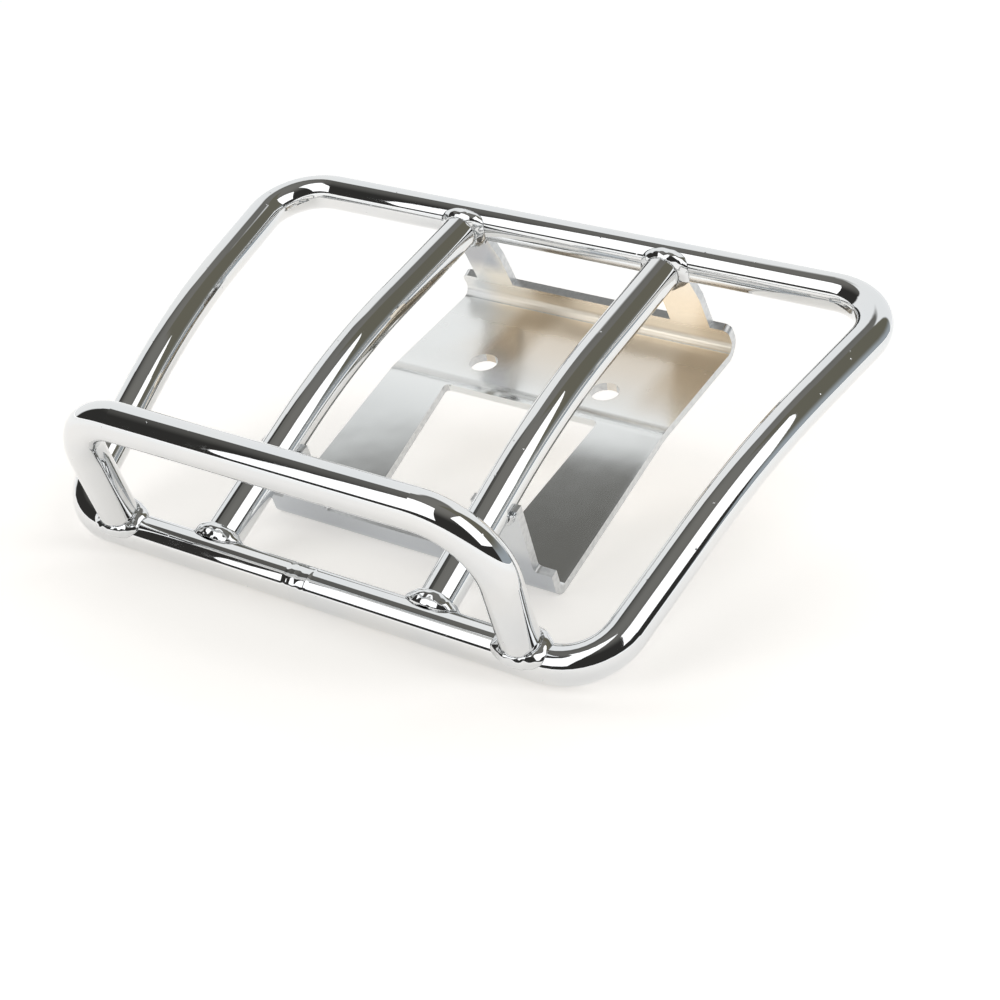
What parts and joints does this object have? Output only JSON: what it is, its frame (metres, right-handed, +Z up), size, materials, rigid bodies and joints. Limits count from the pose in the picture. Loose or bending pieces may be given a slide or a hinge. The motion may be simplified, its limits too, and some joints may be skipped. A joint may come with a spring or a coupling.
{
  "type": "motorcycle luggage rack",
  "caption": "Chromed motorcycle luggage rack: a bent tube hoop with slats and a raised stop hoop, welded to a folded sheet bracket that bolts to the mudguard.",
  "frame": {"origin": "on the table plane under the middle of the rack's box", "axes": "+X along the bars, to the right in the picture; +Y from the near bar with the stop hoop to the far bar; +Z up as the rack lies in the picture"},
  "size_m": [0.242, 0.1946, 0.0906],
  "materials": {
    "tube_chrome": "polished chrome plate on steel tube",
    "sheet_chrome": "chrome plate over unpolished steel sheet, softly satin",
    "weld_chrome": "chrome plate over uneven weld beads"
  },
  "bodies": {
    "root": {"carrying_hoop": "tube_chrome", "hoop_butt_weld": "weld_chrome", "stop_hoop": "tube_chrome", "left_stop_weld": "weld_chrome", "right_stop_weld": "weld_chrome", "left_slat": "tube_chrome", "right_slat": "tube_chrome", "left_slat_near_weld": "weld_chrome", "right_slat_near_weld": "weld_chrome", "left_slat_far_weld": "weld_chrome", "right_slat_far_weld": "weld_chrome", "mounting_bracket": "sheet_chrome", "left_ear_weld": "weld_chrome", "right_ear_weld": "weld_chrome", "left_tab_weld": "weld_chrome", "right_tab_weld": "weld_chrome"}
  },
  "joints": []
}
